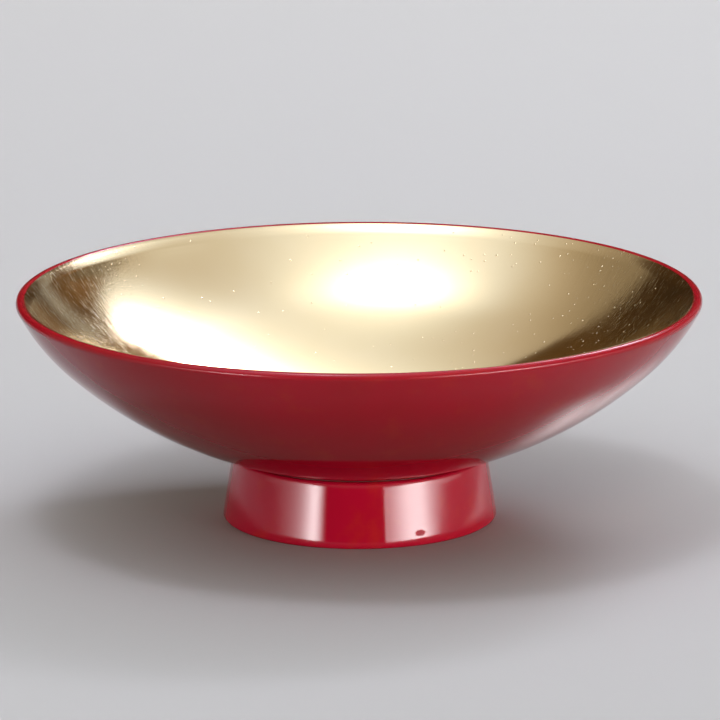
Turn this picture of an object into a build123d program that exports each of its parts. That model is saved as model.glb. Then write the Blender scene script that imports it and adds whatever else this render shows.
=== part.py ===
from build123d import *

import math
import os

# A lacquered wooden sake cup: a shallow turned bowl on a separate turned foot ring.
# Millimetres, +Z up. The origin is the centre of the foot's base, on the table.
# Every piece is a solid of revolution about the Z axis.

# Finished bowl
rim_diameter = 105.0
cup_height = 34.9
bowl_bottom_height = 7.45  # where the outside curve would cross the axis
floor_thickness = 3.35  # from the outside curve to the lacquered inside, on the axis
outside_lip_slope = 62.3  # degrees from level, where the outside wall runs into the lip
inside_lip_slope = 58.0
outside_fullness = 0.79  # 1 makes the lower arc reach the lip by itself
inside_fullness = 0.66

# Finished foot
foot_top_diameter = 39.0
foot_flare = 1.65  # growth of the radius from the top of the foot to its base
base_ring_width = 3.0
collar_wall = 3.2  # the foot's wall beside the socket
collar_step = 0.9  # the bore under the collar is this much wider than the socket
spigot_drop = 0.55  # the spigot reaches this far below the bowl's outside curve

# Coats, from the wood outwards
cloth_thickness = 0.12
ground_coat = 0.12
middle_coat = 0.08
lacquer_coat = 0.10
gold_size_coat = 0.05
gold_leaf = 0.06
glue_film = 0.10
glue_setback = 0.80  # from the foot's top edge in to the glue

# Edges of the bare wood, which the coats round off further
core_lip_radius = 0.33
core_shoulder_radius = 0.30
core_base_radius = 0.20
recess_corner_radius = 0.80  # in the finished corner under the collar

# Hemp cloth bands
rim_cloth_depth = 6.0
foot_cloth_height = 3.0

coats = ground_coat + middle_coat + lacquer_coat
rim_radius = rim_diameter / 2
lip_radius = core_lip_radius + cloth_thickness + coats
foot_top_radius = foot_top_diameter / 2
foot_base_radius = foot_top_radius + foot_flare
bore_base_radius = foot_base_radius - base_ring_width
socket_radius = foot_top_radius - collar_wall
spigot_radius = socket_radius - glue_film
bore_top_radius = socket_radius + collar_step
recess_height = bowl_bottom_height - spigot_drop
outside_slope = math.radians(outside_lip_slope)
inside_slope = math.radians(inside_lip_slope)
lip_centre = (rim_radius - lip_radius, cup_height - lip_radius)


def point(centre, radius, slope):
    """The point of a circle where a curve that turns upwards has this slope."""
    return (centre[0] + radius * math.sin(slope), centre[1] - radius * math.cos(slope))


def bend(centre, radius, slope, end_slope):
    """An arc from one slope to another."""
    middle = (slope + end_slope) / 2
    return ThreePointArc(*(point(centre, radius, at) for at in (slope, middle, end_slope)))


class BowlCurve:
    """Two tangent arcs from the axis, where the curve is level, up to the lip."""

    def __init__(self, bottom_height, end, end_slope, fullness):
        across = end[0]
        up = end[1] - bottom_height
        meet = 2 * fullness * math.atan2(up, across)
        lower_across = math.sin(meet)
        lower_up = 1 - math.cos(meet)
        upper_across = math.sin(end_slope) - math.sin(meet)
        upper_up = math.cos(meet) - math.cos(end_slope)
        scale = lower_across * upper_up - lower_up * upper_across
        self.lower_radius = (across * upper_up - up * upper_across) / scale
        self.upper_radius = (up * lower_across - across * lower_up) / scale
        self.lower_centre = (0, bottom_height + self.lower_radius)
        reach = self.lower_radius - self.upper_radius
        self.upper_centre = point(self.lower_centre, reach, meet)
        self.meet = meet
        self.end_slope = end_slope

    def lower(self, shift, slope):
        """The lower arc, moved outwards by shift, from a slope to where the arcs meet."""
        return bend(self.lower_centre, self.lower_radius + shift, slope, self.meet)

    def upper(self, shift):
        return bend(self.upper_centre, self.upper_radius + shift, self.meet, self.end_slope)

    def slope_at(self, shift, radius):
        """The slope of the moved lower arc at this distance from the axis."""
        return math.asin(radius / (self.lower_radius + shift))

    def height_at(self, shift, radius):
        slope = self.slope_at(shift, radius)
        return point(self.lower_centre, self.lower_radius + shift, slope)[1]


outside = BowlCurve(
    bowl_bottom_height,
    point(lip_centre, lip_radius, outside_slope),
    outside_slope,
    outside_fullness,
)
inside = BowlCurve(
    bowl_bottom_height + floor_thickness,
    point(lip_centre, lip_radius, math.pi + inside_slope),
    inside_slope,
    inside_fullness,
)


def bowl_outline(depth):
    """The bowl's surface this deep in its coats, from the spigot round the lip to the axis."""
    return [
        outside.lower(-depth, outside.slope_at(-depth, spigot_radius)),
        outside.upper(-depth),
        bend(lip_centre, lip_radius - depth, outside_slope, math.pi + inside_slope),
        inside.upper(depth),
        inside.lower(depth, 0),
    ]


def bowl_skin(depth, thickness):
    """The section of one coat that covers the bowl's outside, lip and inside."""
    outer = bowl_outline(depth)
    inner = bowl_outline(depth + thickness)
    ends = [Line(outer[0] @ 0, inner[0] @ 0), Line(outer[-1] @ 0, inner[-1] @ 0)]
    return make_face(outer + inner + ends)


def slanted(base_radius, top_radius, height, depth):
    """The line of a leaning wall, moved depth into the material: its radius at z 0 and its lean."""
    lean = (base_radius - top_radius) / height
    return base_radius - depth * math.hypot(1, lean), lean


def height_under_bowl(base_radius, lean, depth):
    """Where such a line meets the foot's top, which follows the bowl's outside."""
    seat = outside.lower_radius + glue_film + depth
    centre_height = outside.lower_centre[1]
    square = 1 + lean**2
    half = base_radius * lean + centre_height
    rest = base_radius**2 + centre_height**2 - seat**2
    return (half - math.sqrt(half**2 - square * rest)) / square


def foot_corners(depth):
    """The sharp corners of the foot ring's section, this deep in its coats."""
    foot_height = outside.height_at(glue_film, foot_top_radius)
    side, side_lean = slanted(foot_base_radius, foot_top_radius, foot_height, depth)
    bore, bore_lean = slanted(bore_base_radius, bore_top_radius, recess_height, -depth)
    ceiling = recess_height + depth
    shoulder = height_under_bowl(side, side_lean, depth)
    return {
        "socket_foot": (socket_radius, ceiling),
        "bore_top": (bore - ceiling * bore_lean, ceiling),
        "bore_base": (bore - depth * bore_lean, depth),
        "base": (side - depth * side_lean, depth),
        "shoulder": (side - shoulder * side_lean, shoulder),
        "socket_top": (socket_radius, height_under_bowl(socket_radius, 0, depth)),
    }


def foot_section(depth):
    """The foot ring's section, this deep in its coats."""
    corner = foot_corners(depth)
    covered = coats - depth
    seat = outside.lower_radius + glue_film + depth
    slopes = [math.asin(corner[name][0] / seat) for name in ("shoulder", "socket_top")]
    below = [corner[name] for name in ("socket_foot", "bore_top", "bore_base", "base", "shoulder")]
    top = bend(outside.lower_centre, seat, *slopes)
    socket = Line(corner["socket_top"], corner["socket_foot"])
    section = make_face([Polyline(*below), top, socket])
    for name, radius in (
        ("base", core_base_radius + covered),
        ("bore_base", core_base_radius + covered),
        ("shoulder", core_shoulder_radius + covered),
        ("bore_top", recess_corner_radius + depth),
    ):
        vertex = section.vertices().sort_by_distance(corner[name])[0]
        section = fillet(vertex, radius)
    return section


def foot_skin(depth, thickness):
    """The section of one coat that covers all of the foot ring but its socket."""
    return foot_section(depth) - foot_section(depth + thickness)


def strip(low, high, radius):
    """The section of a flat disc of this radius."""
    return Pos(radius / 2, (low + high) / 2) * Rectangle(radius, high - low)


def turned(section):
    return revolve(Plane.XZ * section, Axis.Z)


def rim_cloth_section():
    """A hemp band let into the wood round the lip, flush with it."""
    band = strip(cup_height - rim_cloth_depth, cup_height, rim_radius)
    return bowl_skin(coats, cloth_thickness) & band


def foot_cloth_section():
    """A hemp band let into the wood round the foot's base, flush with it."""
    return foot_skin(coats, cloth_thickness) & strip(0, foot_cloth_height, foot_base_radius)


def bowl_core():
    """The turned bowl, with the round spigot under it that the foot is glued to."""
    outline = bowl_outline(coats)
    spigot_base = recess_height + coats
    spigot = Polyline(
        outline[-1] @ 0,
        (0, spigot_base),
        (spigot_radius, spigot_base),
        outline[0] @ 0,
    )
    return turned(make_face(outline + [spigot]) - rim_cloth_section())


def foot_core():
    """The turned foot ring, with a plain socket through its collar."""
    return turned(foot_section(coats) - foot_cloth_section())


def glue_joint():
    """The film between bowl and foot: round the spigot, and out under the bowl."""
    reach = foot_top_radius - glue_setback
    slopes = [outside.slope_at(glue_film, radius) for radius in (socket_radius, reach)]
    seat_radius = outside.lower_radius + glue_film
    seat = bend(outside.lower_centre, seat_radius, *slopes)
    slopes = [outside.slope_at(0, radius) for radius in (reach, spigot_radius)]
    cover = bend(outside.lower_centre, outside.lower_radius, *slopes)
    round_spigot = Polyline(
        cover @ 1,
        (spigot_radius, recess_height),
        (socket_radius, recess_height),
        seat @ 0,
    )
    return turned(make_face([seat, Line(seat @ 1, cover @ 0), cover, round_spigot]))


def recess_coat(depth, thickness):
    """A coat on the underside of the spigot, inside the foot."""
    low = recess_height + depth
    return turned(strip(low, low + thickness, spigot_radius))


def gilding(depth, thickness):
    """A coat on the lacquered inside, from the axis up to the inner edge of the lip."""
    low = [inside.lower(-depth, 0), inside.upper(-depth)]
    high = [inside.lower(-depth - thickness, 0), inside.upper(-depth - thickness)]
    ends = [Line(low[0] @ 0, high[0] @ 0), Line(low[1] @ 1, high[1] @ 1)]
    return turned(make_face(low + high + ends))


middle_depth = lacquer_coat
ground_depth = lacquer_coat + middle_coat
pieces = {
    "bowl_core": bowl_core(),
    "rim_cloth": turned(rim_cloth_section()),
    "bowl_ground_coat": turned(bowl_skin(ground_depth, ground_coat)),
    "bowl_middle_coat": turned(bowl_skin(middle_depth, middle_coat)),
    "bowl_lacquer": turned(bowl_skin(0, lacquer_coat)),
    "gold_size": gilding(0, gold_size_coat),
    "gold_leaf_lining": gilding(gold_size_coat, gold_leaf),
    "recess_ground_coat": recess_coat(ground_depth, ground_coat),
    "recess_middle_coat": recess_coat(middle_depth, middle_coat),
    "recess_lacquer": recess_coat(0, lacquer_coat),
    "foot_core": foot_core(),
    "foot_cloth": turned(foot_cloth_section()),
    "foot_ground_coat": turned(foot_skin(ground_depth, ground_coat)),
    "foot_middle_coat": turned(foot_skin(middle_depth, middle_coat)),
    "foot_lacquer": turned(foot_skin(0, lacquer_coat)),
    "foot_glue": glue_joint(),
}

os.makedirs("parts", exist_ok=True)
for name, piece in pieces.items():
    export_step(piece, f"parts/{name}.step")
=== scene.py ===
import math
import bmesh
import bpy
import numpy as np
from mathutils import Matrix, Vector, noise


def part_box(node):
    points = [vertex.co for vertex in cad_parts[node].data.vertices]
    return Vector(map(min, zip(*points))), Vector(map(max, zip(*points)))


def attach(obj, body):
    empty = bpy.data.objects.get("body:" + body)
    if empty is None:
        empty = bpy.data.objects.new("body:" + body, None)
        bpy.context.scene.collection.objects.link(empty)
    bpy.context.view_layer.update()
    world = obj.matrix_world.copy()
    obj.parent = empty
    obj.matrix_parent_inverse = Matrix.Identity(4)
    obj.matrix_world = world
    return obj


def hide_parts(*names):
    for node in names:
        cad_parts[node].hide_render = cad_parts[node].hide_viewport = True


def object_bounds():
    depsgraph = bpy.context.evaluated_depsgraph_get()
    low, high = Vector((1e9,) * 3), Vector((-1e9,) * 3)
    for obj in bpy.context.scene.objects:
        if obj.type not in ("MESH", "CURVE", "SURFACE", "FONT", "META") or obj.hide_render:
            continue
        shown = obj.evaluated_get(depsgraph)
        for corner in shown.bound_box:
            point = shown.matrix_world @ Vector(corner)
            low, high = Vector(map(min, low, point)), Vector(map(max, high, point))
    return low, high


# The looks of a lacquered sake cup: vermilion outside and foot, gold inside.
# Sizes of the cup are in millimetres here and become metres in each mesh.
# Places and sizes in the materials, and of the stage, lights and camera, are in metres.

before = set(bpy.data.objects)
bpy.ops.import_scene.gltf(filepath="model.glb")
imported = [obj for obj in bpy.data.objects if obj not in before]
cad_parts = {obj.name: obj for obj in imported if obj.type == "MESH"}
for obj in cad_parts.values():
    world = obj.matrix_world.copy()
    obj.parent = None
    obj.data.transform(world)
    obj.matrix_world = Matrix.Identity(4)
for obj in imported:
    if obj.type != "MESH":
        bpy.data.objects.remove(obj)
cad_low, cad_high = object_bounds()
recess_low, recess_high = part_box("recess_lacquer")
MM = 0.001

# The finished cup, as the frame has it
rim_radius = cad_high.x / MM
cup_height = cad_high.z / MM
recess_height = recess_low.z / MM
spigot_radius = recess_high.x / MM
lacquer_coat = (recess_high.z - recess_low.z) / MM

# The finished cup, as its solids were drawn
bowl_bottom_height = 7.45  # where the outside curve would cross the axis
floor_thickness = 3.35
lip_radius = 0.75
outside_slope = math.radians(62.3)  # from level, where the wall runs into the lip
inside_slope = math.radians(58.0)
outside_fullness = 0.79  # 1 makes the lower arc reach the lip by itself
inside_fullness = 0.66
gold_size_coat = 0.05
gold_leaf = 0.06
foot_top_radius = 19.5
foot_base_radius = 21.15
base_ring_width = 3.0
socket_radius = 16.3
bore_top_radius = 17.2
glue_film = 0.10
base_edge_radius = 0.50
shoulder_radius = 0.60
recess_corner_radius = 0.80

# The gold's upper edge, and its rounded brow under the lip
gold_edge_slope = math.radians(43.0)  # where the gold ends on the lip's inner side
brow_width = 1.7
brow_height = 0.27
brow_turn = 1.6  # how softly the brow turns into the lip: 1 is a straight bevel
brow_fade = 14.0  # how far down the wall the brow takes to sink to nothing

# Hand polishing
relief_depth = 0.012
relief_pitch = 0.11  # per millimetre

# Mesh density
turn_steps = 360
wall_step = 1.0  # millimetres along a section, at most
lip_step = 0.12
brow_step = 0.2
brow_points = 4  # the wall's last points, between which the brow's steps go
round_steps = 8
under_step = 3  # an underside keeps every third point
axis_reach = 0.001  # a ring nearer than this to the axis is one point
sharp_angle = math.radians(50)

# Lacquer
lacquer_ior = 1.38
# The bowl and the foot share one lacquer. The foot's tones are brighter than the bowl's: partly the
# foot's own brighter red, partly painted light on the foot and painted shade on the bowl's
# downward-facing outside.
shaded_bowl_tones = [(0.335, 0.002, 0.012), (0.295, 0.003, 0.009), (0.34, 0.012, 0.007)]  # even, dark, warm
lit_foot_tones = [(0.415, 0.003, 0.022), (0.385, 0.003, 0.017), (0.44, 0.017, 0.010)]
rubbed_height = (cup_height - 1.5 * lip_radius) * MM  # the lacquer is rubbed duller above this
rubbed_blend = 0.0006
scuff_place = (0.0092, -0.0188, 0.0020)
scuff_reach = 0.0009
scuff_flatness = 1.8  # how much wider than high

# Gold
worn_from = 0.029  # the wiped, streaky ends of the gold start this far from the middle along X
worn_fully = 0.041
grains_from = -0.020  # dust and dashes grow more frequent along X from here
grains_fully = 0.035  # to here


def point(centre, radius, slope):
    """The point of a circle where a curve that turns upwards has this slope."""
    return (centre[0] + radius * math.sin(slope), centre[1] - radius * math.cos(slope))


def bend(centre, radius, slope, end_slope, step=wall_step):
    """Points of an arc, each with its outward normal: (r, z, normal r, normal z)."""
    count = max(3, math.ceil(abs(end_slope - slope) * radius / step))
    slopes = [slope + (end_slope - slope) * i / count for i in range(count + 1)]
    return [(*point(centre, radius, s), math.sin(s), -math.cos(s)) for s in slopes]


def divided(points, step=wall_step):
    """The same outline, with points added along its straight stretches."""
    result = [points[0]]
    for here in points[1:]:
        last = np.array(result[-1])
        count = max(1, math.ceil(math.dist(last[:2], here[:2]) / step))
        result += [tuple(last + (np.array(here) - last) * i / count) for i in range(1, count + 1)]
    return result


def rounded(corners):
    """The outline through corners (r, z, rounding), with the material on its left."""
    ends = [Vector(corner[:2]) for corner in corners]
    sides = [(b - a).normalized() for a, b in zip(ends, ends[1:])]
    normals = [Vector((side.y, -side.x)) for side in sides]
    points = [(*ends[0], *normals[0])]
    for corner, end, before, after in zip(corners[1:], ends[1:], normals, normals[1:]):
        bulge = 1 if before.cross(after) > 0 else -1
        centre = end - bulge * corner[2] * (before + after) / (1 + before.dot(after))
        start = math.atan2(before.y, before.x)
        sweep = math.atan2(before.cross(after), before.dot(after))
        for i in range(round_steps + 1):
            angle = start + sweep * i / round_steps
            normal = Vector((math.cos(angle), math.sin(angle)))
            points.append((*(centre + bulge * corner[2] * normal), *normal))
    return points + [(*ends[-1], *normals[-1])]


def turned_over(points):
    """The same points in the other order, with their normals on the other side."""
    return [(r, z, -nr, -nz) for r, z, nr, nz in reversed(points)]


class BowlCurve:
    """Two tangent arcs from the axis, where the curve is level, up to the lip."""

    def __init__(self, bottom_height, end, end_slope, fullness):
        across = end[0]
        up = end[1] - bottom_height
        meet = 2 * fullness * math.atan2(up, across)
        lower_across = math.sin(meet)
        lower_up = 1 - math.cos(meet)
        upper_across = math.sin(end_slope) - math.sin(meet)
        upper_up = math.cos(meet) - math.cos(end_slope)
        scale = lower_across * upper_up - lower_up * upper_across
        self.lower_radius = (across * upper_up - up * upper_across) / scale
        self.upper_radius = (up * lower_across - across * lower_up) / scale
        self.lower_centre = (0, bottom_height + self.lower_radius)
        reach = self.lower_radius - self.upper_radius
        self.upper_centre = point(self.lower_centre, reach, meet)
        self.meet = meet
        self.end_slope = end_slope

    def points(self, start_slope=0.0):
        """From a slope on the lower arc up to the lip, with normals that point down and out."""
        lower = bend(self.lower_centre, self.lower_radius, start_slope, self.meet)
        upper = bend(self.upper_centre, self.upper_radius, self.meet, self.end_slope)
        return lower + upper[1:]


lip_centre = (rim_radius - lip_radius, cup_height - lip_radius)
outside = BowlCurve(
    bowl_bottom_height,
    point(lip_centre, lip_radius, outside_slope),
    outside_slope,
    outside_fullness,
)
inside = BowlCurve(
    bowl_bottom_height + floor_thickness,
    point(lip_centre, lip_radius, math.pi + inside_slope),
    inside_slope,
    inside_fullness,
)
outside_points = outside.points(math.asin(spigot_radius / outside.lower_radius))


def bowl_outline():
    """The bowl's lacquered surface, from the spigot under it round the lip to the axis."""
    lip = bend(lip_centre, lip_radius, outside_slope, math.pi + inside_slope, lip_step)
    return outside_points + lip[1:] + turned_over(inside.points())[1:]


def foot_outline():
    """The foot's lacquered surface: under the collar, down the bore, round the base, up to its top."""
    seat = outside.lower_radius + glue_film
    centre_height = outside.lower_centre[1]
    shoulder = centre_height - math.sqrt(seat**2 - foot_top_radius**2)
    socket_top = centre_height - math.sqrt(seat**2 - socket_radius**2)
    return divided(rounded([
        (socket_radius, recess_height, 0),
        (bore_top_radius, recess_height, recess_corner_radius),
        (foot_base_radius - base_ring_width, 0, base_edge_radius),
        (foot_base_radius, 0, base_edge_radius),
        (foot_top_radius, shoulder, shoulder_radius),
        (socket_radius, socket_top, 0),
    ]))


def recess_outline():
    """The lacquered underside of the spigot, which is the recess's ceiling."""
    return divided([(0, recess_height, 0, -1), (spigot_radius, recess_height, 0, -1)])


def lacquer_loop(outline):
    """The lacquer's closed section: the outline, and back along its underside with fewer points."""
    under = [(r - nr * lacquer_coat, z - nz * lacquer_coat) for r, z, nr, nz in outline]
    kept = under[::under_step]
    if kept[-1] != under[-1]:
        kept.append(under[-1])
    return [(r, z) for r, z, _, _ in outline] + kept[::-1]


def lifted(wall_point, lift):
    """A point this far above a point of the bowl's inside."""
    r, z, out, down = wall_point
    return (r - out * lift, z - down * lift)


def brow(below):
    """How proud the gold stands at this distance below the lip."""
    fading = min(1, max(0, below - brow_width) / brow_fade)
    turning = max(0, 1 - below / brow_width)
    return brow_height * (1 + math.cos(math.pi * fading)) / 2 * (1 - turning**brow_turn)


def gold_loop():
    """The gold's section: down to the size under it, and above with a low brow below the lip."""
    wall = inside.points()
    wall = wall[:-brow_points] + divided(wall[-brow_points:], brow_step)
    wall_top = wall[-1][:2]
    gilding = gold_size_coat + gold_leaf
    top = [lifted(place, gilding + brow(math.dist(place[:2], wall_top))) for place in wall]
    top.append(point(lip_centre, lip_radius + gilding, math.pi + gold_edge_slope))
    under = [lifted(place, gold_size_coat) for place in wall[::under_step]]
    under.append(point(lip_centre, lip_radius, math.pi + gold_edge_slope))
    return top + under[::-1]


def polished(place):
    """Sinks a point of a coat by the slow unevenness that hand polishing leaves."""
    inwards = -Vector((place.x, place.y, 0)).normalized()
    return place + inwards * relief_depth * (0.5 + 0.5 * noise.noise(place * relief_pitch))


def smooth_piece(name, places, faces):
    """A smoothly shaded object from points in millimetres."""
    mesh = bpy.data.meshes.new(name)
    mesh.from_pydata([tuple(c * MM for c in place) for place in places], [], faces)
    mesh.validate()
    made = bmesh.new()
    made.from_mesh(mesh)
    bmesh.ops.recalc_face_normals(made, faces=made.faces)
    made.to_mesh(mesh)
    made.free()
    mesh.shade_smooth()
    mesh.set_sharp_from_angle(angle=sharp_angle)
    piece = bpy.data.objects.new(name, mesh)
    bpy.context.scene.collection.objects.link(piece)
    return piece


def faces_between(ring, after):
    """The faces between two rings, each given as its first point and its number of points."""
    start, count = ring
    after_start, after_count = after
    faces = []
    if count == after_count == 1:
        return faces
    for j in range(turn_steps):
        k = (j + 1) % turn_steps
        if count == 1:
            faces.append((start, after_start + k, after_start + j))
        elif after_count == 1:
            faces.append((start + j, start + k, after_start))
        else:
            faces.append((start + j, start + k, after_start + k, after_start + j))
    return faces


def turn(name, loop, polished_points=0):
    """A solid of revolution round Z from a closed loop (r, z), with its first points polished."""
    angles = np.arange(turn_steps) * math.tau / turn_steps
    places = []
    rings = []
    for index, (r, z) in enumerate(loop):
        radius = max(r, 0.0)
        count = 1 if r < axis_reach else turn_steps
        rings.append((len(places), count))
        for angle in angles[:count]:
            place = (radius * math.cos(angle), radius * math.sin(angle), z)
            places.append(polished(Vector(place)) if index < polished_points else place)
    faces = []
    for ring, after in zip(rings, rings[1:] + rings[:1]):
        faces += faces_between(ring, after)
    return smooth_piece(name, places, faces)


def colour(*parts):
    """Red, green and blue as Blender's sockets take them."""
    return (*parts, 1.0)


class Graph:
    """A node tree under construction."""

    def __init__(self, tree):
        self.tree = tree

    def set(self, node, sockets):
        """Gives sockets, by name or number, a value each or a link from another node."""
        for key, value in sockets.items():
            if isinstance(key, str):
                key = key.replace("_", " ")
            if isinstance(value, bpy.types.NodeSocket):
                self.tree.links.new(value, node.inputs[key])
            else:
                node.inputs[key].default_value = value

    def add(self, kind, settings=None, sockets=None):
        node = self.tree.nodes.new(kind)
        for name, value in (settings or {}).items():
            setattr(node, name, value)
        self.set(node, sockets or {})
        return node

    def math(self, operation, *values, clamp=False):
        settings = {"operation": operation, "use_clamp": clamp}
        return self.add("ShaderNodeMath", settings, dict(enumerate(values))).outputs[0]

    def plus(self, first, second):
        return self.math("ADD", first, second)

    def times(self, first, second):
        return self.math("MULTIPLY", first, second)

    def largest(self, *values):
        result = values[0]
        for value in values[1:]:
            result = self.math("MAXIMUM", result, value)
        return result

    def vector(self, operation, *values, output="Vector"):
        settings = {"operation": operation}
        return self.add("ShaderNodeVectorMath", settings, dict(enumerate(values))).outputs[output]

    def ramp(self, value, low, high, to_low=0.0, to_high=1.0):
        """value mapped smoothly from low..high to to_low..to_high."""
        return self.add("ShaderNodeMapRange", {"interpolation_type": "SMOOTHSTEP"}, {
            "Value": value,
            "From_Min": low,
            "From_Max": high,
            "To_Min": to_low,
            "To_Max": to_high,
        }).outputs["Result"]

    def mix(self, share, first, second):
        """A colour between two others. A mix node's colours are its sockets 6, 7 and 2."""
        node = self.add("ShaderNodeMix", {"data_type": "RGBA"}, {0: share, 6: first, 7: second})
        return node.outputs[2]

    def shown(self):
        """1 for the rays that show the background: straight, reflected and refracted ones."""
        path = self.add("ShaderNodeLightPath").outputs
        return self.largest(path["Is Glossy Ray"], path["Is Transmission Ray"], path["Is Camera Ray"])


class Finish(Graph):
    """A material under construction: its Principled shader and what feeds it."""

    def __init__(self, name, **sockets):
        self.material = bpy.data.materials.new(name)
        self.material.use_nodes = True
        super().__init__(self.material.node_tree)
        self.shader = self.tree.nodes["Principled BSDF"]
        self.set(self.shader, sockets)
        self.place = self.add("ShaderNodeTexCoord").outputs["Object"]

    def along(self, axis):
        """How far along X, Y or Z a point lies."""
        return self.add("ShaderNodeSeparateXYZ", sockets={0: self.place}).outputs[axis]

    def polar(self, round_scale, out_scale):
        """A place in noise space that turns with the cup, on its own scale round and outwards."""
        level = self.vector("MULTIPLY", self.place, (1, 1, 0))
        round_axis = self.vector("MULTIPLY", self.vector("NORMALIZE", level), (round_scale,) * 3)
        radius = self.vector("LENGTH", level, output="Value")
        out = self.add("ShaderNodeCombineXYZ", sockets={"Z": self.times(radius, out_scale)}).outputs[0]
        return self.vector("ADD", round_axis, out)

    def noise(self, scale, detail, roughness, place=None, distortion=0.0):
        return self.add("ShaderNodeTexNoise", sockets={
            "Vector": place or self.place,
            "Scale": scale,
            "Detail": detail,
            "Roughness": roughness,
            "Distortion": distortion,
        }).outputs["Fac"]

    def spots(self, scale, share, size, place=None):
        """Scattered round spots: about this share of the cells holds one, of this size in cells."""
        cells = self.add("ShaderNodeTexVoronoi", sockets={"Vector": place or self.place, "Scale": scale})
        spot = self.ramp(cells.outputs["Distance"], size / 2, size, 1.0, 0.0)
        lot = self.add("ShaderNodeSeparateColor", sockets={0: cells.outputs["Color"]}).outputs[0]
        return self.times(spot, self.math("LESS_THAN", lot, share))

    def bump(self, height, distance, strength, below=None):
        """The normal over a height, on top of the normal below where one is given."""
        sockets = {"Height": height, "Distance": distance, "Strength": strength}
        if below:
            sockets["Normal"] = below
        return self.add("ShaderNodeBump", sockets=sockets).outputs["Normal"]

    def done(self, **sockets):
        self.set(self.shader, sockets)
        return self.material

    def emit(self, strength, tint=colour(1.0, 1.0, 1.0), see_through=False):
        """The finished material as a plain light instead, which may let through what is behind."""
        self.tree.nodes.remove(self.shader)
        sockets = {"Color": tint, "Strength": strength}
        light = self.add("ShaderNodeEmission", sockets=sockets).outputs[0]
        if see_through:
            clear = self.add("ShaderNodeBsdfTransparent").outputs[0]
            light = self.add("ShaderNodeAddShader", sockets={0: clear, 1: light}).outputs[0]
        self.tree.links.new(light, self.tree.nodes["Material Output"].inputs[0])
        return self.material


def scuff(finish):
    """1 in the small worn patch on the foot, with a ragged edge, and 0 outside it."""
    away = finish.vector("SUBTRACT", finish.place, scuff_place)
    flattened = finish.vector("MULTIPLY", away, (1, 1, scuff_flatness))
    ragged = finish.times(finish.noise(scale=1800, detail=2, roughness=0.6), scuff_reach)
    distance = finish.plus(finish.vector("LENGTH", flattened, output="Value"), ragged)
    return finish.ramp(distance, 1.3 * scuff_reach, 1.6 * scuff_reach, 1.0, 0.0)


def red_lacquer(name, tones, scuffed=False):
    """Brushed and polished vermilion lacquer: a deep even red, softly mottled, with a few dust nibs,
    and duller on the lip."""
    even, dark, warm = (colour(*tone) for tone in tones)
    finish = Finish(name, IOR=lacquer_ior)

    cloud = finish.noise(scale=38, detail=3, roughness=0.55)
    base = finish.mix(finish.ramp(cloud, 0.35, 0.7), even, dark)
    mottle = finish.noise(scale=170, detail=4, roughness=0.65)
    base = finish.mix(finish.ramp(mottle, 0.5, 0.75, to_high=0.55), base, warm)

    orange_peel = finish.noise(scale=420, detail=2, roughness=0.5)
    surface = finish.bump(orange_peel, distance=0.000012, strength=0.3)
    nibs = finish.spots(scale=260, share=0.10, size=0.10)
    surface = finish.bump(nibs, distance=0.00003, strength=0.5, below=surface)

    smear = finish.noise(scale=90, detail=4, roughness=0.6, distortion=0.4)
    roughness = finish.ramp(smear, 0.3, 0.75, to_low=0.06, to_high=0.11)
    rubbed = finish.ramp(finish.along("Z"), rubbed_height, rubbed_height + rubbed_blend, to_high=0.13)
    roughness = finish.plus(roughness, rubbed)

    if scuffed:
        worn = scuff(finish)
        base = finish.mix(worn, base, dark)
        roughness = finish.plus(roughness, finish.times(worn, 0.45))
    return finish.done(Base_Color=base, Roughness=roughness, Normal=surface)


def gold_grains(finish, worn):
    """Scattered specks on the gold: short dashes and dust, and fine flecks where it is worn."""
    share = finish.ramp(finish.along("X"), grains_from, grains_fully, to_low=0.02, to_high=0.14)
    dash_place = finish.polar(round_scale=60, out_scale=1300)
    dash = finish.spots(scale=1.0, share=share, size=0.17, place=dash_place)
    dust = finish.spots(scale=1000, share=share, size=0.17)
    fleck = finish.spots(scale=2300, share=finish.times(worn, 0.12), size=0.32)
    return finish.largest(dash, dust, finish.times(fleck, 0.5))


def gold(name):
    """Gold leaf laid on lacquer: soft metal with wiping streaks at its two ends, grains and pinholes."""
    finish = Finish(name, Metallic=1.0)

    cloud = finish.noise(scale=30, detail=4, roughness=0.6)
    tone = finish.mix(finish.ramp(cloud, 0.3, 0.75), colour(0.94, 0.78, 0.49), colour(0.91, 0.74, 0.43))
    pinhole = finish.spots(scale=330, share=0.05, size=0.05)
    tone = finish.mix(pinhole, tone, colour(0.70, 0.16, 0.07))

    worn = finish.ramp(finish.math("ABSOLUTE", finish.along("X")), worn_from, worn_fully)
    grains = gold_grains(finish, worn)
    streaks = finish.noise(1.0, detail=4, roughness=0.7, place=finish.polar(115, 300))
    scratches = finish.noise(1.0, detail=2, roughness=0.5, place=finish.polar(310, 700))
    speckle = finish.noise(scale=2600, detail=2, roughness=0.5)

    surface = finish.bump(finish.times(streaks, worn), distance=0.000020, strength=1.0)
    surface = finish.bump(finish.times(speckle, worn), distance=0.000008, strength=1.0, below=surface)
    surface = finish.bump(grains, distance=0.00004, strength=1.0, below=surface)

    streaked = finish.times(finish.ramp(streaks, 0.45, 0.65), worn)
    wiped = finish.plus(0.10, finish.times(streaked, 0.11))
    scratched = finish.times(finish.ramp(scratches, 0.52, 0.68, to_high=0.28), worn)
    roughness = finish.largest(wiped, scratched, finish.times(grains, 0.5))
    return finish.done(Base_Color=tone, Roughness=roughness, Normal=surface)


def dull_layer(name, tone, other_tone, scale, roughness, depth):
    """An inner layer: between two tones in colour, and uneven in gloss and surface."""
    finish = Finish(name)
    grain = finish.noise(scale, detail=5, roughness=0.6)
    base = finish.mix(finish.ramp(grain, 0.3, 0.7), colour(*tone), colour(*other_tone))
    return finish.done(
        Base_Color=base,
        Roughness=finish.ramp(grain, 0.3, 0.7, roughness, roughness + 0.12),
        Normal=finish.bump(grain, distance=depth, strength=0.6),
    )


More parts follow.
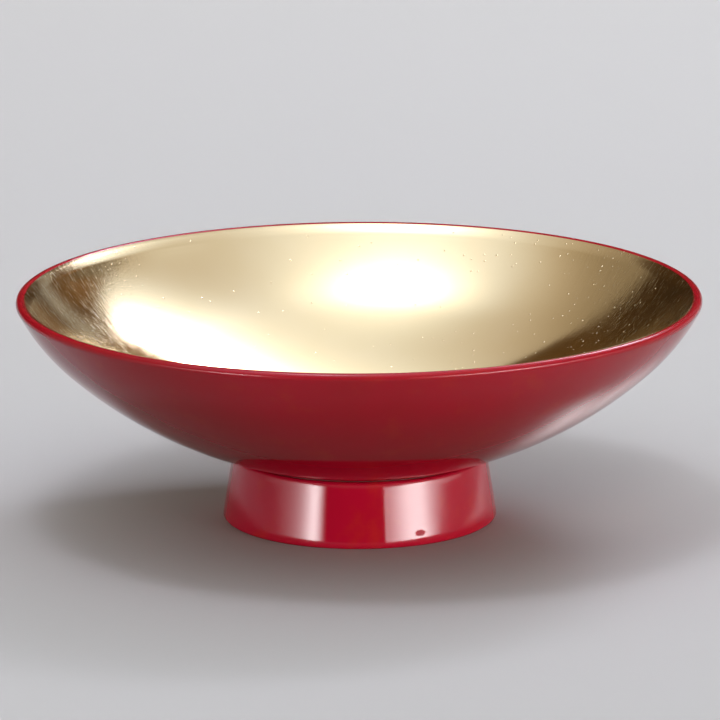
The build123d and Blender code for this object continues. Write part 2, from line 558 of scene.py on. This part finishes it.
def wood(name):
    """Straight-grained turned wood."""
    finish = Finish(name)
    fibres = finish.vector("MULTIPLY", finish.place, (60, 900, 900))
    grain = finish.noise(scale=1.0, detail=6, roughness=0.6, place=fibres)
    rings = finish.add("ShaderNodeTexWave", {"wave_type": "BANDS", "bands_direction": "Y"}, {
        "Vector": finish.place,
        "Scale": 90,
        "Distortion": 6,
        "Detail": 3,
    }).outputs["Fac"]
    share = finish.math("MULTIPLY", finish.ramp(grain, 0.3, 0.7), rings, clamp=True)
    base = finish.mix(share, colour(0.56, 0.38, 0.20), colour(0.34, 0.20, 0.09))
    surface = finish.bump(grain, distance=0.00008, strength=0.5)
    return finish.done(Base_Color=base, Roughness=0.6, Normal=surface)


def hemp(name):
    """Open plain-woven cloth, soaked in lacquer."""
    finish = Finish(name)
    threads = []
    for direction in ("X", "Y"):
        wave = finish.add("ShaderNodeTexWave", {"bands_direction": direction}, {
            "Vector": finish.place,
            "Scale": 450,
            "Distortion": 0.6,
        })
        threads.append(wave.outputs["Fac"])
    weave = finish.times(*threads)
    base = finish.mix(weave, colour(0.16, 0.11, 0.06), colour(0.46, 0.38, 0.25))
    surface = finish.bump(weave, distance=0.0001, strength=0.8)
    return finish.done(Base_Color=base, Roughness=0.8, Normal=surface)


def dress(piece, material):
    """Puts one material on all of a piece."""
    piece.data.materials.clear()
    piece.data.materials.append(material)


def add_piece(piece, node, material):
    """Puts a material on a piece that stands for a node and rides on the cup."""
    dress(piece, material)
    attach(piece, "root")
    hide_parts(node)


# The surfaces that show
bowl_red = red_lacquer("bowl_red", shaded_bowl_tones)
foot_red = red_lacquer("foot_red", lit_foot_tones, scuffed=True)

bowl = turn("bowl_lacquer_skin", lacquer_loop(bowl_outline()), polished_points=len(outside_points))
add_piece(bowl, "bowl_lacquer", bowl_red)

lining = turn("gold_lining", gold_loop())
add_piece(lining, "gold_leaf_lining", gold("gold_leaf"))

foot = turn("foot_lacquer_skin", lacquer_loop(foot_outline()))
add_piece(foot, "foot_lacquer", foot_red)

recess = turn("recess_lacquer_disc", lacquer_loop(recess_outline()))
add_piece(recess, "recess_lacquer", foot_red)

# The layers inside, which keep their solids
clay = dull_layer(
    "clay_ground",
    tone=(0.10, 0.08, 0.06),
    other_tone=(0.06, 0.05, 0.04),
    scale=600,
    roughness=0.8,
    depth=0.00004,
)
black = dull_layer(
    "black_lacquer",
    tone=(0.014, 0.011, 0.010),
    other_tone=(0.02, 0.013, 0.011),
    scale=120,
    roughness=0.3,
    depth=0.00002,
)
size = dull_layer(
    "size_lacquer",
    tone=(0.30, 0.04, 0.015),
    other_tone=(0.22, 0.03, 0.012),
    scale=90,
    roughness=0.35,
    depth=0.00001,
)
glue = dull_layer(
    "lacquer_glue",
    tone=(0.16, 0.020, 0.014),
    other_tone=(0.09, 0.014, 0.010),
    scale=300,
    roughness=0.5,
    depth=0.00003,
)
turned_wood = wood("turned_wood")
cloth = hemp("hemp_cloth")
inner = {
    "bowl_core": turned_wood,
    "foot_core": turned_wood,
    "rim_cloth": cloth,
    "foot_cloth": cloth,
    "bowl_ground_coat": clay,
    "foot_ground_coat": clay,
    "recess_ground_coat": clay,
    "bowl_middle_coat": black,
    "foot_middle_coat": black,
    "recess_middle_coat": black,
    "gold_size": size,
    "foot_glue": glue,
}
for node, material in inner.items():
    dress(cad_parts[node], material)

# Stage: a pale floor under a wide diffuser, with a board behind it and a window at its right
floor_reach = 3.0
floor_shade = colour(0.465, 0.46, 0.424)
floor_bounce = colour(0.075, 0.073, 0.07)
ceiling_height = 1.0
ceiling_front = -1.0
ceiling_level = 0.255
ceiling_back = [
    (-2.6, 2.35), (-2.12, 1.95), (-1.6, 1.55), (-1.22, 1.25), (-0.95, 1.11), (-0.41, 0.97),
    (0.3, 1.12), (0.7, 1.2), (1.0, 1.27), (1.25, 1.24), (1.37, 1.05), (1.38, 0.8),
]
ceiling_spots = [  # x, y, reach, strength
    (-0.127, -0.078, 0.09, 20.0),
    (-0.127, -0.078, 0.27, 1.72),
    (-0.23, -0.60, 0.98, 0.99),
    (0.555, 1.144, 0.258, 26.0),
    (0.555, 1.144, 0.62, 2.99),
    (1.48, -0.30, 0.55, 0.72),
]
dim_tint = colour(1.0, 0.80, 0.56)
even_tint = colour(1.0, 1.04, 1.17)
bright_tint = colour(1.0, 1.02, 1.22)
board_foot_y = 2.7
board_narrowing = 0.85  # the foot's width as a share of the top's
board_top = [(-6.0, 2.35), *ceiling_back, (1.58, 1.1)]
board_foot = [(x * board_narrowing, board_foot_y) for x, _ in board_top]
board_brown = colour(0.24, 0.12, 0.032)
window_height = 0.99
window_reach = 3.4
window_level = 0.20
window_tint = colour(1.0, 0.84, 0.66)
window_left = [
    (1.3, -0.8), (1.37, 0.0), (1.37, 0.8), (1.52, 1.1), (1.65, 1.5), (2.0, 2.3), (2.5, 3.3),
]
window_right = [(window_reach, y) for _, y in window_left]

# Boxes that stand on a circle round the cup, at azimuths in degrees anticlockwise from +X
box_distance = 0.92
box_step = 4
box_height = 0.13
box_level = 27.0
flag_black = colour(0.01, 0.01, 0.01)
right_edge = -69
right_end = 12
left_edge = -118.5
left_end = -180
strip_span = (60.5, 64.5)
strip_heights = (0.05, 0.42)
strip_level = 0.5
back_span = (60, 120)
back_heights = (0.1, 0.6)
back_level = 1.6

# The glow on the floor beside the foot, seen only in reflections: a painted reflection, a pale sheen on
# the cup's lower right side
sheen_height = 0.0005
sheen_low = (0.0, -0.10)
sheen_high = (0.14, 0.10)
sheen_spots = [
    (0.041, 0.000, 0.0095, 1.2),
    (0.050, 0.015, 0.010, 0.75),
    (0.058, 0.030, 0.011, 0.30),
]


def card(name, near_edge, far_edge, material, seen=False):
    """A board of the stage between two edges of as many points, which cameras see only if seen."""
    count = len(near_edge)
    faces = [(i, i + 1, count + i + 1, count + i) for i in range(count - 1)]
    mesh = bpy.data.meshes.new(name)
    mesh.from_pydata([*near_edge, *far_edge], [], faces)
    board = bpy.data.objects.new(name, mesh)
    bpy.context.scene.collection.objects.link(board)
    board.data.materials.append(material)
    board.visible_camera = seen
    return board


def at_height(edge, height):
    """The points (x, y) of an edge, all at one height."""
    return [(x, y, height) for x, y in edge]


def flat_card(name, low, high, height, material, seen=False):
    """A level rectangle between two corners."""
    near = at_height([low, (high[0], low[1])], height)
    far = at_height([(low[0], high[1]), high], height)
    return card(name, near, far, material, seen)


def round_card(name, start, end, low, high, material):
    """An upright board on the circle round the cup, between two azimuths and two heights."""
    count = math.ceil(abs(end - start) / box_step)
    azimuths = [math.radians(start + (end - start) * i / count) for i in range(count + 1)]
    edge = [(box_distance * math.cos(a), box_distance * math.sin(a)) for a in azimuths]
    return card(name, at_height(edge, low), at_height(edge, high), material)


def pale_floor(name):
    """A matte floor, shown in its own shade, that throws less light back on the cup."""
    finish = Finish(name, Roughness=0.9, Specular_IOR_Level=0.1)
    return finish.done(Base_Color=finish.mix(finish.shown(), floor_bounce, floor_shade))


def matte(name, shade):
    """A board's dull paint."""
    return Finish(name, Roughness=0.9, Base_Color=shade).material


def soft_spots(finish, level, spots):
    """An even level with soft bright spots (x, y, reach, strength) on it."""
    flat = finish.vector("MULTIPLY", finish.place, (1, 1, 0))
    for x, y, reach, strength in spots:
        away = finish.vector("DISTANCE", flat, (x, y, 0), output="Value")
        share = finish.math("DIVIDE", away, reach)
        fall = finish.math("EXPONENT", finish.times(finish.times(share, share), -1.0))
        level = finish.plus(level, finish.times(fall, strength))
    return level


def diffuser(name):
    """The overhead diffuser's light: warm where it is dim, and cool where it is bright."""
    finish = Finish(name)
    level = soft_spots(finish, ceiling_level, ceiling_spots)
    tint = finish.mix(finish.ramp(level, 0.2, 1.0), dim_tint, even_tint)
    tint = finish.mix(finish.ramp(level, 1.0, 2.5), tint, bright_tint)
    return finish.emit(level, tint)


def one_sided(name, edge, way, first, rise, plateau, fade):
    """A light with one crisp edge at an azimuth. From there, in degrees, it rises from its first
    share to full, stays full over the plateau and fades away. way is -1 for clockwise."""
    finish = Finish(name)
    angle = finish.math("ARCTAN2", finish.along("Y"), finish.along("X"))
    azimuth = finish.math("DEGREES", angle)
    turned = finish.times(finish.math("SUBTRACT", azimuth, edge), way)
    ahead = finish.math("FLOORED_MODULO", turned, 360)
    past = finish.math("MAXIMUM", finish.math("SUBTRACT", ahead, rise + plateau), 0)
    share = finish.math("DIVIDE", past, fade)
    fall = finish.plus(finish.times(share, share), 1)
    level = finish.ramp(ahead, 0, rise, first * box_level, box_level)
    return finish.emit(finish.math("DIVIDE", level, fall))


def floor_glow(name):
    """Soft spots of light that leave the floor under them as it is."""
    finish = Finish(name)
    return finish.emit(soft_spots(finish, 0.0, sheen_spots), see_through=True)


floor_corner = (floor_reach, floor_reach)
flat_card("floor", (-floor_reach, -floor_reach), floor_corner, 0, pale_floor("pale_floor"), seen=True)
card(
    "ceiling",
    at_height([(x, ceiling_front) for x, _ in ceiling_back], ceiling_height),
    at_height(ceiling_back, ceiling_height),
    diffuser("ceiling_light"),
)
card(
    "back_board",
    at_height(board_foot, 0),
    at_height(board_top, ceiling_height),
    matte("brown_board", board_brown),
)
card(
    "side_window",
    at_height(window_left, window_height),
    at_height(window_right, window_height),
    Finish("window_light").emit(window_level, window_tint),
)

right_light = one_sided("right_light", right_edge, way=1, first=0.3, rise=26, plateau=5, fade=12)
round_card("right_box", right_edge, right_end, 0, box_height, right_light)
left_light = one_sided("left_light", left_edge, way=-1, first=0.02, rise=10.5, plateau=0, fade=8.5)
flag = matte("front_flag", flag_black)
round_card("front_flag", left_edge, right_edge, 0, box_height, flag)
round_card("left_box", left_edge, left_end, 0, box_height, left_light)
round_card("back_strip", *strip_span, *strip_heights, Finish("strip_light").emit(strip_level))
back_box = round_card("back_box", *back_span, *back_heights, Finish("back_light").emit(back_level))
back_box.visible_glossy = False
# A painted reflection: only glossy rays see this glow, so it shows only as a pale sheen on the cup's
# lower right side.
flank_sheen = flat_card("flank_sheen", sheen_low, sheen_high, sheen_height, floor_glow("flank_sheen"))
flank_sheen.visible_diffuse = False
flank_sheen.visible_transmission = False
flank_sheen.visible_shadow = False

# The room's light, dimmer on the cup than it shows
world_grey = colour(0.80, 0.80, 0.79)
world_light = 0.28
world_shown = 0.60
world = bpy.data.worlds.new("studio")
bpy.context.scene.world = world
world.use_nodes = True
sky = Graph(world.node_tree)
sky.set(world.node_tree.nodes["Background"], {
    "Color": world_grey,
    "Strength": sky.ramp(sky.shown(), 0.0, 1.0, world_light, world_shown),
})

# Camera, as the photograph was taken: a long lens, a little above the rim
camera_focus = 6145.0  # in pixels of a 720-pixel frame
frame_pixels = 720
sensor_width = 36.0  # millimetres
camera_distance = 0.943
camera_elevation = math.radians(13.54)
camera_roll = math.radians(-0.221)
camera_target = Vector((0.00011, 0, 0.02445))
camera_data = bpy.data.cameras.new("camera")
camera_data.sensor_width = sensor_width
camera_data.lens = camera_focus / frame_pixels * sensor_width
camera = bpy.data.objects.new("camera", camera_data)
bpy.context.scene.collection.objects.link(camera)
forward = Vector((0, math.cos(camera_elevation), -math.sin(camera_elevation)))
sideways = Vector((1, 0, 0))
above = sideways.cross(forward)
across = sideways * math.cos(camera_roll) + above * math.sin(camera_roll)
up = above * math.cos(camera_roll) - sideways * math.sin(camera_roll)
aimed = Matrix((across, up, -forward)).transposed().to_4x4()
camera.matrix_world = Matrix.Translation(camera_target - forward * camera_distance) @ aimed
bpy.context.scene.camera = camera
bpy.context.scene.view_settings.view_transform = "Standard"
